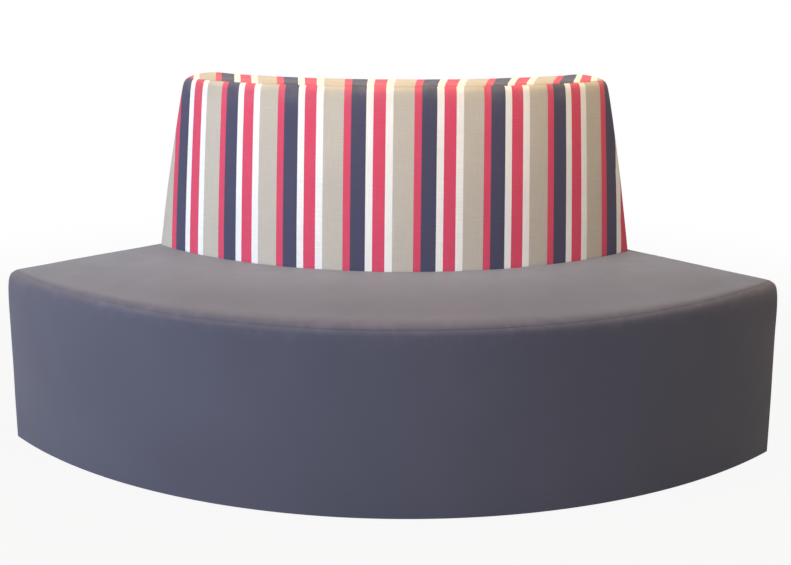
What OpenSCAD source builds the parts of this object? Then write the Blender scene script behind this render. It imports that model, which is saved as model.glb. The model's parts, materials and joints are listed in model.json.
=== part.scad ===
// Upholstered banquette bench: a quarter ring that faces outward, with a padded
// seat box down to the floor and a leaning padded back along its inner side.
// X runs along the bench, the seat faces -Y, Z is up. The origin is on the floor,
// in the middle of the box that the bench fills.

/* [Plan] */
// Radius of the seat's curved front
front_radius = 1350; // [1250:10:1600]
// Angle between the two ends of the bench
span = 90; // [70:1:96]

/* [Seat] */
// Height of the seat's top edges above the floor
seat_h = 445; // [420:5:480]
// Depth of the seat in front of the back
seat_depth = 420; // [380:5:480]
// Rise of the seat's crown over its edges
seat_crown = 7; // [2:0.5:12]
// Radius of the seat's front top edge
front_edge_r = 35; // [28:1:42]
// Radius of the seat's rear top edge
rear_edge_r = 26; // [25:1:34]
// Radius of the top edges at the seat's two ends
end_edge_r = 22; // [18:1:24]
// Radius of the upright corners of the seat box
corner_r = 16; // [15:0.5:20]
// Thickness of the seat foam at its edges
seat_foam_t = 80; // [60:5:100]
// Thickness of the foam wrapped round the box
wrap_t = 10; // [6:0.5:11]

/* [Back] */
// Overall height of the bench
overall_h = 905; // [850:5:1000]
// Depth of the back at its foot
back_foot_depth = 218; // [200:1:240]
// Distance of the back's rear face from the seat's rear face
back_rear_inset = 12; // [6:1:20]
// Depth of the back along its top
back_top_depth = 130; // [115:1:150]
// Rise of the back's top from its front edge to its rear edge
back_top_rise = 7; // [2:1:12]
// Distance of the back's ends from the seat's ends, at the foot
back_end_inset = 25; // [20:1:40]
// Further distance of the back's ends at the top
back_end_taper = 5; // [0:1:12]
// Bulge of the back's padded ends
back_end_bulge = 2; // [0:1:14]
// Rise of the crown on the back's front face
back_crown = 6; // [0:1:14]
// Radius of the back's front top edge
back_front_edge_r = 30; // [22:1:34]
// Radius of the back's rear top edge
back_rear_edge_r = 20; // [19:1:26]
// Radius of the edges at the back's two ends
back_end_r = 18; // [14:1:18]
// Thickness of the foam on the back's front
back_foam_t = 40; // [30:1:50]
// Thickness of the foam on the back's top
back_top_foam_t = 22; // [18:1:26]

/* [Sheets and boards] */
// Thickness of the covering
cover_t = 1.2; // [0.8:0.1:1.6]
// Thickness of the plywood boards
board_t = 18; // [15:1:21]
// Thickness of the bent plywood round the seat box
skin_t = 8; // [5:1:9]
// Thickness of the bent plywood round the back
back_skin_t = 5; // [4:1:8]
// Thickness of the cloth under the base
dust_cloth_t = 0.8; // [0.5:0.1:1.2]

/* [Floor glides] */
// Height of a floor glide
glide_h = 5; // [4:0.5:10]
// Radius of a floor glide
glide_r = 15; // [10:1:20]
// Distance of the glides from the bench's front and rear
glide_inset = 70; // [50:5:110]
// Radius of a glide's nail
nail_r = 1.5; // [1:0.1:2]
// Length of a glide's nail
nail_length = 18; // [12:1:22]

/* [Fixings] */
// Radius of the bolts that hold the back
bolt_r = 4; // [3:0.5:5]
// Width of a bolt's head across its flats
bolt_head_w = 13; // [11:0.5:16]
// Thickness of a bolt's head
bolt_head_t = 5.3; // [4:0.1:7]
// Radius of a bolt's washer
washer_r = 12; // [9:1:16]
// Thickness of a bolt's washer
washer_t = 1.6; // [1:0.1:2.5]
// Radius of a tee nut's flange
tee_flange_r = 11; // [9:1:14]
// Thickness of a tee nut's flange
tee_flange_t = 1.5; // [1:0.1:2]
// Radius of a tee nut's barrel
tee_barrel_r = 5.5; // [5.2:0.1:7]
// Length of a tee nut's barrel
tee_barrel_length = 10; // [7:1:14]
// Length of a bolt's free end past its tee nut
bolt_end = 3; // [1:0.5:8]
// Play round a bolt in a board
bolt_play = 0.5; // [0.2:0.1:1]
// Play of a bolt in its tee nut
thread_play = 0.05; // [0.02:0.01:0.1]
// Radius of a wood screw's shank
screw_r = 2; // [1.5:0.1:2.5]
// Radius of a wood screw's head
screw_head_r = 4; // [3:0.1:5]
// Length of a wood screw
screw_length = 45; // [35:1:60]

/* [Hidden] */

// Counts of the steps that the padded forms are drawn in
width_steps = 20;
seam_steps = 2;
edge_steps = 4;
seat_steps = 6;
face_steps = 5;
top_steps = 2;
// A padded edge turns through this angle up to its seam, and again after it
seam_turn = 45;
// Segments of a turned board and of a small round
turned_fn = 180;
small_fn = 32;

half = span / 2;
foot_radius = front_radius - seat_depth;
rear_radius = foot_radius - back_foot_depth - back_rear_inset;
corner_trim = corner_r * (cos(half) + sin(half) - 1);
ring_y = (front_radius + rear_radius * cos(half) + corner_trim) / 2;
reach = 2 * front_radius;
cut_over = glide_h;
// A flat step of a padded form bows this share inward of its true arc
chord_share = cos(half / width_steps);

base_z = glide_h + dust_cloth_t;
deck_top = seat_h - cover_t - seat_foam_t;
core_inset = cover_t + wrap_t;
core_front_r = (front_radius - core_inset) * chord_share;
core_rear_r = rear_radius + core_inset;
box_front_r = core_front_r - skin_t;
box_rear_r = core_rear_r + skin_t;
box_end = core_inset + board_t;
// The mitre between two slabs of foam runs into the flat over this distance
mitre_run = wrap_t / 4;

back_rear_r = rear_radius + back_rear_inset;
back_front_r = back_rear_r + back_top_depth;
back_edge_z = overall_h - back_top_rise;
recline = atan((foot_radius - back_front_r) / (back_edge_z - seat_h));
top_tilt = atan(back_top_rise / back_top_depth);
face_normal = [cos(recline), sin(recline)];
top_normal = [sin(top_tilt), cos(top_tilt)];
rear_normal = [-1, 0];
back_core_end = back_end_inset + back_end_taper + back_end_r;
back_core_top = back_edge_z - cover_t - back_top_foam_t;
back_core_rear_r = back_rear_r + cover_t;
face_cut = (cover_t + back_foam_t) / cos(recline);
back_core_foot_r = foot_radius - face_cut;
back_core_edge_r = back_core_foot_r - (back_core_top - seat_h) * tan(recline);
back_box_end = back_core_end + board_t;
back_box_rear_r = back_core_rear_r + back_skin_t;

// The riser carries the back through the seat foam, inside the back's foot
riser_inset = board_t + back_skin_t;
riser_rear_r = back_rear_r + riser_inset;
riser_front_r = back_core_foot_r - riser_inset;
riser_end = back_core_end + riser_inset;

// Share of the way from the bench's middle to its ends
bolt_shares = [-0.69, -0.24, 0.24, 0.69];
glide_shares = [-0.86, -0.31, 0.31, 0.86];
rib_share = 0.5;
bolt_circle_r = (riser_rear_r + riser_front_r) / 2;
access_hole_r = 4 * washer_r;
rail_top = seat_h + board_t;
// Shares of a board's depth at which its screws stand
screw_shares = [0.12, 0.5, 0.88];
back_screw_shares = [0.25, 0.75];

// A point of the bench: distance from the ring's centre, bearing from the middle, height
function ring_point(r, bearing, z) = [r * sin(bearing), ring_y - r * cos(bearing), z];

// A row of a padded form: its point and normal in the upright plane, the radius of
// its rounding at the ends, its distance from the end plane, its crown, and the
// share of that crown that is lost at the ends
function row(p, n, r, end_gap, crown, fade_share) = [p, n, r, end_gap, crown, fade_share];

// A column of a padded form: its side, its turn round the end's edge, and its share
// of the width between the two rounded ends
columns = concat(
    [for (i = [seam_steps : -1 : 1]) [-1, seam_turn * i / seam_steps, 0]],
    [for (i = [0 : width_steps]) [0, 0, 2 * i / width_steps - 1]],
    [for (i = [1 : seam_steps]) [1, seam_turn * i / seam_steps, 0]]);
right_end_columns = [for (i = [0 : seam_steps]) [1, seam_turn * (1 + i / seam_steps), 0]];
left_end_columns = [for (i = [seam_steps : -1 : 1]) [-1, seam_turn * (1 + i / seam_steps), 0]];
all_columns = concat(left_end_columns, columns, [for (i = [1 : seam_steps]) right_end_columns[i]]);

function bearing_at(col, r, edge_gap, end_gap) =
    col[0] != 0 ? col[0] * (half - asin(edge_gap / r)) : col[2] * (half - asin(end_gap / r));

// The padded surface at a row and column, the given depth below the covering's face
function pad_point(w, col, depth) = let (
        turn_r = w[2] - depth,
        inset = w[2] - turn_r * cos(col[1]),
        lift = w[4] * (1 - w[5] * (col[0] != 0 ? 1 : pow(col[2], 4))) - inset,
        r = w[0][0] + lift * w[1][0],
        z = w[0][1] + lift * w[1][1])
    ring_point(r, bearing_at(col, r, w[3] + w[2] - turn_r * sin(col[1]), w[3] + w[2]), z);

// The face of a slab of foam that lies on the frame, cut square at the mitre
function slab_point(p, col, end_gap) = ring_point(p[0],
    bearing_at(col, p[0], end_gap + mitre_run * (1 - col[1] / seam_turn), end_gap + mitre_run), p[1]);

function pad_grid(rows, cols, depth) = [for (w = rows) [for (c = cols) pad_point(w, c, depth)]];
function part_of(list, first, last) = [for (i = [first : last]) list[i]];
function flat(grid) = [for (line = grid) each line];
function middle(points) = [for (k = [0, 1, 2]) [for (p = points) p[k]] * [for (p = points) 1] / len(points)];
function fillet_centre(corner, n, m, r) = corner - r * (n + m) / (1 + n * m);
function pitch(n) = atan2(n[1], n[0]);
function between(a, b, share) = a + (b - a) * share;

seat_rows = concat(
    [for (z = [glide_h, deck_top]) row([front_radius, z], [1, 0], corner_r, 0, 0, 1)],
    [for (i = [0 : edge_steps]) let (n = [cos(90 * i / edge_steps), sin(90 * i / edge_steps)])
        row([front_radius - front_edge_r, seat_h - front_edge_r] + front_edge_r * n, n, end_edge_r, 0, 0, 1)],
    [for (i = [1 : seat_steps]) let (s = i / seat_steps)
        row([between(front_radius - front_edge_r, foot_radius, s), seat_h], [0, 1], end_edge_r,
            0, 4 * seat_crown * s * (1 - s), 1)],
    [for (i = [0 : edge_steps]) let (n = [-sin(90 * i / edge_steps), cos(90 * i / edge_steps)])
        row([rear_radius + rear_edge_r, seat_h - rear_edge_r] + rear_edge_r * n, n, end_edge_r, 0, 0, 1)],
    [for (z = [deck_top, glide_h]) row([rear_radius, z], [-1, 0], corner_r, 0, 0, 1)]);
seat_last = len(seat_rows) - 1;
seat_front_seam = 2 + edge_steps / 4;
seat_rear_seam = seat_last - 2 - edge_steps / 2;

// The back's end stands clear of the seat's end, leans in and bulges
function back_end_gap(z) = let (s = (z - seat_h) / (overall_h - seat_h))
    back_end_inset + back_end_taper * s - back_end_bulge * sin(180 * s);
function back_row(p, n, crown) = row(p, n, back_end_r, back_end_gap(p[1]), crown, 1 / 2);

front_turn = fillet_centre([back_front_r, back_edge_z], face_normal, top_normal, back_front_edge_r);
rear_turn = fillet_centre([back_rear_r, overall_h], top_normal, rear_normal, back_rear_edge_r);
face_top = front_turn + back_front_edge_r * face_normal;
top_front = front_turn + back_front_edge_r * top_normal;
top_rear = rear_turn + back_rear_edge_r * top_normal;
back_foot = [foot_radius, seat_h];

back_rows = concat(
    [back_row(back_foot, [1 / cos(recline), 0], 0)],
    [for (i = [1 : face_steps]) let (s = i / face_steps)
        back_row(between(back_foot, face_top, s), face_normal, 4 * back_crown * s * (1 - s))],
    [for (i = [1 : edge_steps])
        let (a = between(recline, pitch(top_normal), i / edge_steps), n = [cos(a), sin(a)])
        back_row(front_turn + back_front_edge_r * n, n, 0)],
    [for (i = [1 : top_steps]) back_row(between(top_front, top_rear, i / top_steps), top_normal, 0)],
    [for (i = [1 : edge_steps])
        let (a = between(pitch(top_normal), pitch(rear_normal), i / edge_steps), n = [cos(a), sin(a)])
        back_row(rear_turn + back_rear_edge_r * n, n, 0)],
    [for (z = [back_core_top, seat_h]) back_row([back_rear_r, z], rear_normal, 0)]);
back_last = len(back_rows) - 1;
back_front_seam = face_steps + edge_steps - 1;
back_rear_seam = face_steps + edge_steps + top_steps + edge_steps / 2;
back_core_row = back_last - 1;

// Where the foam of each row of the back meets the frame
core_foot = [back_core_foot_r, seat_h];
core_edge = [back_core_edge_r, back_core_top];
core_rear = [back_core_rear_r + back_skin_t, back_core_top];
back_core = [for (i = [0 : back_last])
    i <= back_front_seam ? between(core_foot, core_edge, i / back_front_seam)
    : i <= back_core_row ? between(core_edge, core_rear,
        (i - back_front_seam) / (back_core_row - back_front_seam))
    : [back_core_rear_r + back_skin_t, seat_h]];
function slab_grid(points, cols, end_gap) = [for (p = points) [for (c = cols) slab_point(p, c, end_gap)]];

// Two triangles for the cell of a grid, and for a wall between two edges
function cell(a, b, c, d) = [[a, b, c], [a, c, d]];

// A closed shell between an outer and an inner grid of points
module shell(outer, inner) {
    n = len(outer);
    m = len(outer[0]);
    s = n * m;
    faces = [
        for (i = [0 : n - 2]) for (j = [0 : m - 2]) let (a = i * m + j) each concat(
            cell(a, a + m, a + m + 1, a + 1),
            cell(s + a, s + a + 1, s + a + m + 1, s + a + m)),
        for (j = [0 : m - 2]) let (b = (n - 1) * m + j) each concat(
            cell(j, j + 1, s + j + 1, s + j),
            cell(b + 1, b, s + b, s + b + 1)),
        for (i = [0 : n - 2]) let (a = i * m, b = i * m + m - 1) each concat(
            cell(a + m, a, s + a, s + a + m),
            cell(b, b + m, s + b + m, s + b))];
    polyhedron(concat(flat(outer), flat(inner)), faces);
}

// A closed shell over the right end: the rounded edge and the end's face
module end_shell(outer, inner) {
    n = len(outer);
    m = len(outer[0]);
    s = n * m;
    outer_rim = [for (line = outer) line[m - 1]];
    inner_rim = [for (line = inner) line[m - 1]];
    hub = 2 * s;
    last = s - 1;
    faces = [
        for (i = [0 : n - 2]) for (j = [0 : m - 2]) let (a = i * m + j) each concat(
            cell(a, a + m, a + m + 1, a + 1),
            cell(s + a, s + a + 1, s + a + m + 1, s + a + m)),
        for (i = [0 : n - 2]) let (a = i * m + m - 1)
            each [[a, a + m, hub], [s + a + m, s + a, hub + 1]],
        [last, m - 1, hub], [s + m - 1, s + last, hub + 1],
        for (i = [0 : n - 2]) let (a = i * m) each cell(a + m, a, s + a, s + a + m),
        for (j = [0 : m - 2]) let (b = (n - 1) * m + j) each concat(
            cell(j, j + 1, s + j + 1, s + j),
            cell(b + 1, b, s + b, s + b + 1)),
        each cell(m - 1, last, s + last, s + m - 1)];
    polyhedron(concat(flat(outer), flat(inner), [middle(outer_rim), middle(inner_rim)]), faces);
}

// A closed block under a grid that spans the whole width, flat underneath
module block(grid) {
    n = len(grid);
    m = len(grid[0]);
    hub = n * m;
    left_rim = [for (line = grid) line[0]];
    right_rim = [for (line = grid) line[m - 1]];
    faces = [
        for (i = [0 : n - 2]) for (j = [0 : m - 2]) let (a = i * m + j) each cell(a, a + m, a + m + 1, a + 1),
        for (i = [0 : n - 2]) let (a = i * m, b = a + m - 1) each [[a + m, a, hub], [b, b + m, hub + 1]],
        [0, hub - m, hub], [hub - 1, m - 1, hub + 1],
        for (j = [0 : m - 2]) let (b = (n - 1) * m + j) each cell(j, j + 1, b + 1, b)];
    polyhedron(concat(flat(grid), [middle(left_rim), middle(right_rim)]), faces);
}

module to_left() {
    mirror([1, 0, 0]) children();
}

// An outline in the upright plane, turned about the ring's centre
module turned(outline) {
    translate([0, ring_y, 0])
        rotate_extrude($fn = turned_fn) polygon(outline);
}

function band(r_low, r_high, z_low, z_high) =
    [[r_low, z_low], [r_high, z_low], [r_high, z_high], [r_low, z_high]];

// A turned board that stops at the same distance from both end planes
module arc_board(outline, end_gap) {
    apex = [0, ring_y - end_gap / sin(half)];
    intersection() {
        turned(outline);
        linear_extrude(height = overall_h)
            polygon([apex, apex - reach * [sin(half), cos(half)], apex + reach * [sin(half), -cos(half)]]);
    }
}

// A straight board of the turned outline, across the bench at a bearing
module radial_board(outline, bearing) {
    intersection() {
        turned(outline);
        on_bearing(bearing) translate([0, -board_t / 2, 0]) cube([reach, board_t, overall_h]);
    }
}

// A straight board of the turned outline, along the right end plane
module end_board(outline, end_gap) {
    intersection() {
        turned(outline);
        on_bearing(half) translate([0, -end_gap - board_t, 0]) cube([reach, board_t, overall_h]);
    }
}

module on_bearing(bearing) {
    translate([0, ring_y, 0]) rotate([0, 0, bearing - 90]) children();
}

module at_bolts() {
    for (s = bolt_shares) on_bearing(s * half) translate([bolt_circle_r, 0, 0]) children();
}

module at_glides() {
    for (s = glide_shares) for (r = [rear_radius + glide_inset, front_radius - glide_inset])
        on_bearing(s * half) translate([r, 0, 0]) children();
}

// The bearings of the ribs, and the places of the screws over ribs and end boards
rib_bearings = [-rib_share * half, 0, rib_share * half];
module at_deck_screws() {
    for (s = screw_shares) let (r = between(box_rear_r, box_front_r, s)) {
        for (b = rib_bearings) on_bearing(b) translate([r, 0, deck_top]) children();
    }
}

module at_back_screws() {
    for (s = back_screw_shares) let (r = between(back_box_rear_r, back_core_edge_r - back_skin_t, s)) {
        for (b = rib_bearings) on_bearing(b) translate([r, 0, back_core_top]) children();
    }
}

// A countersunk wood screw, its head flush at zero and pointing down
module screw() {
    rotate_extrude($fn = small_fn)
        polygon([[0, 0], [screw_head_r, 0], [screw_r, screw_r - screw_head_r],
            [screw_r, 2 * screw_r - screw_length], [0, -screw_length]]);
}

// The room of a wood screw, open above its head
module screw_hole() {
    rotate_extrude($fn = small_fn)
        polygon([[0, cut_over], [screw_head_r, cut_over], [screw_head_r, 0],
            [screw_r, screw_r - screw_head_r], [screw_r, 2 * screw_r - screw_length], [0, -screw_length]]);
}

module bolt_hole(z_low, z_high) {
    translate([0, 0, z_low - cut_over])
        cylinder(r = bolt_r + bolt_play, h = z_high - z_low + 2 * cut_over, $fn = small_fn);
}

module glides() {
    color("#26262a") at_glides() difference() {
        rotate_extrude($fn = small_fn)
            polygon([[0, 0], [glide_r - glide_h / 3, 0], [glide_r, glide_h / 3],
                [glide_r, glide_h], [0, glide_h]]);
        translate([0, 0, glide_h / 2])
            cylinder(r = 2 * nail_r, h = glide_h, $fn = small_fn);
        translate([0, 0, glide_h / 3])
            cylinder(r = nail_r, h = glide_h, $fn = small_fn);
    }
}

// A nail's head sits in its glide and its shank runs up into the base
module nail() {
    translate([0, 0, glide_h / 2])
        cylinder(r = 2 * nail_r, h = nail_r, $fn = small_fn);
    translate([0, 0, glide_h / 2])
        cylinder(r = nail_r, h = nail_length, $fn = small_fn);
}

module glide_nails() {
    color("#9a9a9e") at_glides() nail();
}

module nail_holes() {
    at_glides() translate([0, 0, glide_h / 2])
        cylinder(r = nail_r, h = nail_length, $fn = small_fn);
}

module dust_cloth() {
    color("#1c1c1e") difference() {
        arc_board(band(core_rear_r, core_front_r, glide_h, base_z), core_inset);
        nail_holes();
    }
}

module base_board() {
    color("#c9a878") difference() {
        arc_board(band(box_rear_r, box_front_r, base_z, base_z + board_t), box_end);
        nail_holes();
        at_bolts() cylinder(r = access_hole_r, h = base_z + board_t + cut_over, $fn = turned_fn);
    }
}

module front_skin() {
    color("#d8bd90") arc_board(band(box_front_r, core_front_r, base_z, deck_top), box_end);
}

module rear_skin() {
    color("#d8bd90") arc_board(band(core_rear_r, box_rear_r, base_z, deck_top), box_end);
}

module box_end_board() {
    color("#c9a878") end_board(band(core_rear_r, core_front_r, base_z, deck_top), core_inset);
}

module rib(bearing) {
    color("#c9a878") difference() {
        radial_board(band(box_rear_r, box_front_r, base_z + board_t, deck_top - board_t), bearing);
        at_deck_screws() screw_hole();
    }
}

module seat_deck() {
    color("#c9a878") difference() {
        arc_board(band(box_rear_r, box_front_r, deck_top - board_t, deck_top), box_end);
        at_deck_screws() screw_hole();
        at_bolts() bolt_hole(deck_top - board_t, deck_top);
    }
}

module deck_screws() {
    color("#b0a060") at_deck_screws() screw();
}

riser_outline = band(riser_rear_r, riser_front_r, deck_top, seat_h - cover_t);

module back_riser() {
    color("#c9a878") difference() {
        arc_board(riser_outline, riser_end);
        at_bolts() bolt_hole(deck_top, seat_h);
    }
}

// The foam round the box stands on the base's level and stops under the seat foam
module wrap_slab(outline) {
    translate([0, 0, base_z]) linear_extrude(height = deck_top - base_z) polygon(outline);
}

function plan(points) = [for (p = points) [p[0], p[1]]];
function mirrored(list) = [for (i = [len(list) - 1 : -1 : 0]) list[i]];
front_wall = seat_rows[0];
rear_wall = seat_rows[seat_last];
front_core = [front_radius - core_inset, base_z];
rear_core = [core_rear_r, base_z];

module side_wrap(wall, core) {
    color("#e8e2d0") wrap_slab(plan(concat(
        [for (c = columns) pad_point(wall, c, cover_t)],
        mirrored([for (c = columns) slab_point(core, c, core_inset)]))));
}

module front_wrap_foam() {
    side_wrap(front_wall, front_core);
}

module rear_wrap_foam() {
    side_wrap(rear_wall, rear_core);
}

module end_wrap_foam() {
    corner = right_end_columns[0];
    color("#e8e2d0") wrap_slab(plan(concat(
        [for (c = right_end_columns) pad_point(front_wall, c, cover_t)],
        mirrored([for (c = right_end_columns) pad_point(rear_wall, c, cover_t)]),
        [slab_point(rear_core, corner, core_inset), slab_point(front_core, corner, core_inset)])));
}

module seat_foam() {
    color("#efe6c4") difference() {
        block(pad_grid(part_of(seat_rows, 1, seat_last - 1), all_columns, cover_t));
        arc_board(band(riser_rear_r, riser_front_r, deck_top - cut_over, seat_h + cut_over), riser_end);
    }
}

module seat_panel(first, last) {
    rows = part_of(seat_rows, first, last);
    color("#5f5d68") shell(pad_grid(rows, columns, 0), pad_grid(rows, columns, cover_t));
}

module seat_cover_top() {
    difference() {
        seat_panel(seat_front_seam, seat_rear_seam);
        at_bolts() bolt_hole(seat_h - cover_t, seat_h);
    }
}

module seat_cover_front() {
    seat_panel(0, seat_front_seam);
}

module seat_cover_rear() {
    seat_panel(seat_rear_seam, seat_last);
}

module seat_cover_end() {
    color("#5f5d68") end_shell(pad_grid(seat_rows, right_end_columns, 0),
        pad_grid(seat_rows, right_end_columns, cover_t));
}

// The radius at which the front of the back's frame stands, at a height
function back_frame_r(z) =
    (back_core_foot_r - (z - seat_h) * tan(recline)) * chord_share;
back_skin_cut = back_skin_t / cos(recline);
function back_band(r_low, inset, z_low, z_high) =
    [[r_low, z_low], [back_frame_r(z_low) - inset, z_low],
        [back_frame_r(z_high) - inset, z_high], [r_low, z_high]];

module back_bottom_rail() {
    color("#c9a878") difference() {
        arc_board(back_band(back_box_rear_r, back_skin_cut, seat_h, rail_top), back_box_end);
        at_bolts() {
            bolt_hole(seat_h, rail_top);
            translate([0, 0, rail_top - tee_barrel_length])
                cylinder(r = tee_barrel_r, h = tee_barrel_length + cut_over, $fn = small_fn);
        }
    }
}

module back_rib(bearing) {
    color("#c9a878") difference() {
        radial_board(back_band(back_box_rear_r, back_skin_cut, rail_top, back_core_top - board_t), bearing);
        at_back_screws() screw_hole();
    }
}

module back_end_board() {
    color("#c9a878") end_board(back_band(back_core_rear_r, 0, seat_h, back_core_top), back_core_end);
}

module back_top_rail() {
    color("#c9a878") difference() {
        arc_board(back_band(back_box_rear_r, back_skin_cut, back_core_top - board_t, back_core_top),
            back_box_end);
        at_back_screws() screw_hole();
    }
}

module back_screws() {
    color("#b0a060") at_back_screws() screw();
}

module back_front_skin() {
    z_low = seat_h;
    z_high = back_core_top;
    color("#d8bd90") arc_board([[back_frame_r(z_low) - back_skin_cut, z_low], [back_frame_r(z_low), z_low],
        [back_frame_r(z_high), z_high], [back_frame_r(z_high) - back_skin_cut, z_high]], back_box_end);
}

module back_rear_skin() {
    color("#d8bd90") arc_board(band(back_core_rear_r, back_box_rear_r, seat_h, back_core_top), back_box_end);
}

module back_slab(first, last) {
    rows = part_of(back_rows, first, last);
    color("#efe6c4") shell(pad_grid(rows, columns, cover_t),
        slab_grid(part_of(back_core, first, last), columns, back_core_end));
}

module back_front_foam() {
    back_slab(0, back_front_seam);
}

module back_top_foam() {
    back_slab(back_front_seam, back_core_row);
}

module back_end_foam() {
    corner = right_end_columns[0];
    rim = [for (p = back_core) slab_point(p, corner, back_core_end)];
    hub = middle(rim);
    color("#efe6c4") end_shell(pad_grid(back_rows, right_end_columns, cover_t),
        [for (p = rim) [for (k = [0 : seam_steps]) between(p, hub, k / 8)]]);
}

module back_panel(first, last) {
    rows = part_of(back_rows, first, last);
    color("#c0455c") shell(pad_grid(rows, columns, 0), pad_grid(rows, columns, cover_t));
}

module back_cover_front() {
    back_panel(0, back_front_seam);
}

module back_cover_top() {
    back_panel(back_front_seam, back_rear_seam);
}

module back_cover_rear() {
    back_panel(back_rear_seam, back_last);
}

module back_cover_end() {
    color("#c0455c") end_shell(pad_grid(back_rows, right_end_columns, 0),
        pad_grid(back_rows, right_end_columns, cover_t));
}

washer_z = deck_top - board_t - washer_t;

module back_bolts() {
    color("#8f9398") at_bolts() {
        translate([0, 0, washer_z - bolt_head_t])
            cylinder(r = bolt_head_w / 2 / cos(30), h = bolt_head_t, $fn = 6);
        translate([0, 0, washer_z])
            cylinder(r = bolt_r, h = rail_top + tee_flange_t + bolt_end - washer_z, $fn = small_fn);
    }
}

module bolt_washers() {
    color("#b4b8bc") at_bolts() translate([0, 0, washer_z]) difference() {
        cylinder(r = washer_r, h = washer_t, $fn = small_fn);
        translate([0, 0, -cut_over])
            cylinder(r = bolt_r + bolt_play, h = washer_t + 2 * cut_over, $fn = small_fn);
    }
}

module tee_nuts() {
    color("#b4b8bc") at_bolts() difference() {
        union() {
            translate([0, 0, rail_top])
                cylinder(r = tee_flange_r, h = tee_flange_t, $fn = small_fn);
            translate([0, 0, rail_top - tee_barrel_length])
                cylinder(r = tee_barrel_r, h = tee_barrel_length, $fn = small_fn);
        }
        translate([0, 0, rail_top - tee_barrel_length - cut_over])
            cylinder(r = bolt_r + thread_play,
                h = tee_barrel_length + tee_flange_t + 2 * cut_over, $fn = small_fn);
    }
}

glides();
glide_nails();
dust_cloth();
base_board();
front_skin();
rear_skin();
to_left() box_end_board();  // end_board_left
box_end_board();  // end_board_right
rib(rib_bearings[0]);  // rib_left
rib(rib_bearings[1]);  // rib_middle
rib(rib_bearings[2]);  // rib_right
seat_deck();
deck_screws();
back_riser();
front_wrap_foam();
rear_wrap_foam();
to_left() end_wrap_foam();  // end_wrap_foam_left
end_wrap_foam();  // end_wrap_foam_right
seat_foam();
seat_cover_top();
seat_cover_front();
seat_cover_rear();
to_left() seat_cover_end();  // seat_cover_end_left
seat_cover_end();  // seat_cover_end_right
back_bottom_rail();
back_rib(rib_bearings[0]);  // back_rib_left
back_rib(rib_bearings[1]);  // back_rib_middle
back_rib(rib_bearings[2]);  // back_rib_right
to_left() back_end_board();  // back_end_board_left
back_end_board();  // back_end_board_right
back_top_rail();
back_screws();
back_front_skin();
back_rear_skin();
back_front_foam();
back_top_foam();
to_left() back_end_foam();  // back_end_foam_left
back_end_foam();  // back_end_foam_right
back_cover_front();
back_cover_top();
back_cover_rear();
to_left() back_cover_end();  // back_cover_end_left
back_cover_end();  // back_cover_end_right
back_bolts();
bolt_washers();
tee_nuts();
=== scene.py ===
import json
import math

import bpy
import numpy as np
from mathutils import Matrix, Vector


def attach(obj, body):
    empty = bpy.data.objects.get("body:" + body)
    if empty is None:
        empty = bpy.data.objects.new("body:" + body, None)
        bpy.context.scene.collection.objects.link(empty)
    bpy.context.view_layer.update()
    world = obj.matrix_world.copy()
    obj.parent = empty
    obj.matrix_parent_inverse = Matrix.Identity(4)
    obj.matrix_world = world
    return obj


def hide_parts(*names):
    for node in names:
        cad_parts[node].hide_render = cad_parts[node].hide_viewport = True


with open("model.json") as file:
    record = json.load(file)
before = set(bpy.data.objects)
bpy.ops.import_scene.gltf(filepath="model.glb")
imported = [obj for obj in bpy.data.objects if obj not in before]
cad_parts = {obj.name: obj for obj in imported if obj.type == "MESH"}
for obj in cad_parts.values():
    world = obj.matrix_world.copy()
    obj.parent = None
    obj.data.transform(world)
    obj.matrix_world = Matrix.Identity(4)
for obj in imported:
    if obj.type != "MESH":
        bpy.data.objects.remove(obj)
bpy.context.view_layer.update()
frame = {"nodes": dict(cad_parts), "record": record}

# Plan and seat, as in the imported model
FRONT_RADIUS = 1.350
HALF_SPAN = math.radians(45)
SEAT_H = 0.445
SEAT_DEPTH = 0.420
SEAT_CROWN = 0.007
REAR_EDGE_R = 0.026
END_EDGE_R = 0.022
CORNER_R = 0.016
HEM_CORNER_R = 0.008
HEM_Z = 0.005
DECK_TOP = 0.3638
# Back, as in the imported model
OVERALL_H = 0.905
BACK_FOOT_DEPTH = 0.218
BACK_REAR_INSET = 0.012
BACK_TOP_DEPTH = 0.130
BACK_TOP_RISE = 0.007
BACK_END_INSET = 0.025
BACK_END_TAPER = 0.005
BACK_END_BULGE = 0.002
BACK_CROWN = 0.006
BACK_FRONT_EDGE_R = 0.030
BACK_REAR_EDGE_R = 0.020
BACK_END_R = 0.018
# What the scene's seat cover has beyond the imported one: it stands a little proud of the foam's
# 35 mm front edge, and its front seam climbs towards both ends
FRONT_EDGE_R = 0.027
SEAT_SEAM_CLIMB = 0.017
# Where the front and rear seams lie, as shares of the two rounded edges
SEAT_SEAM_SHARES = (1 / 3, 1 / 2)
BACK_SEAM_SHARES = (0.62, 1 / 2)
# How much of the crown is gone at the two ends
SEAT_END_FADE = 1.0
BACK_END_FADE = 0.5
CROWN_FADE_POWER = 4
SEAT_CROWN_POWER = 1.5

COVER_T = 0.0012
SEAM_TURN = math.radians(45)
FOOT_RADIUS = FRONT_RADIUS - SEAT_DEPTH
REAR_RADIUS = FOOT_RADIUS - BACK_FOOT_DEPTH - BACK_REAR_INSET
BACK_REAR_R = REAR_RADIUS + BACK_REAR_INSET
BACK_FRONT_R = BACK_REAR_R + BACK_TOP_DEPTH
BACK_EDGE_Z = OVERALL_H - BACK_TOP_RISE
RECLINE = math.atan((FOOT_RADIUS - BACK_FRONT_R) / (BACK_EDGE_Z - SEAT_H))
CORNER_TRIM = CORNER_R * (math.cos(HALF_SPAN) + math.sin(HALF_SPAN) - 1)
RING_Y = (FRONT_RADIUS + REAR_RADIUS * math.cos(HALF_SPAN) + CORNER_TRIM) / 2

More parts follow.
